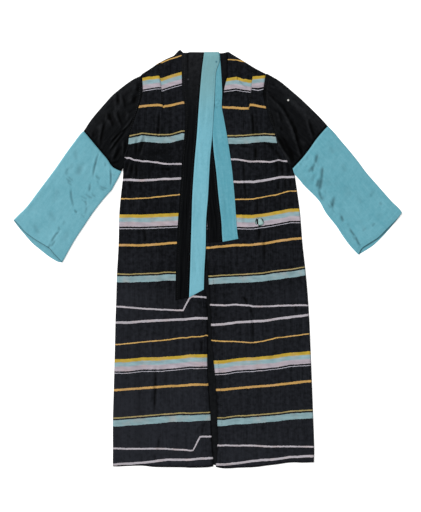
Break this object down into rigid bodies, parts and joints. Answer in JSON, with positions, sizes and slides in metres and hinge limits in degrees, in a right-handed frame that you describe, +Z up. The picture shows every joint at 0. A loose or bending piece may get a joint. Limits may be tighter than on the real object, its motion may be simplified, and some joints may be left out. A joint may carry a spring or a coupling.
{
  "type": "kimono laid flat",
  "caption": "Full-length striped robe with a long two-colour collar and tapered two-colour sleeves, laid flat on its back with its front edges meeting.",
  "frame": {"origin": "on the surface that the garment lies on, under the middle of its whole outline", "axes": "+Y from the hem to the neck, +Z up from the surface, out of the garment's front, +X towards the wearer's left sleeve"},
  "size_m": [1.164, 1.2584, 0.0103],
  "materials": {
    "striped_silk": "matte black silk with woven bands and lines of yellow, blue, lilac and orange",
    "black_silk": "matte plain black silk",
    "turquoise_silk": "plain turquoise silk with a soft sheen"
  },
  "bodies": {
    "root": {"back": "striped_silk", "front_right": "striped_silk", "front_left": "striped_silk", "sleeve_upper_right": "black_silk", "sleeve_upper_left": "black_silk", "sleeve_lower_right": "turquoise_silk", "sleeve_lower_left": "turquoise_silk", "collar_neck": "black_silk", "collar_left_black": "black_silk", "collar_left_turquoise": "turquoise_silk", "collar_right_black": "black_silk", "collar_right_turquoise": "turquoise_silk"}
  },
  "joints": []
}
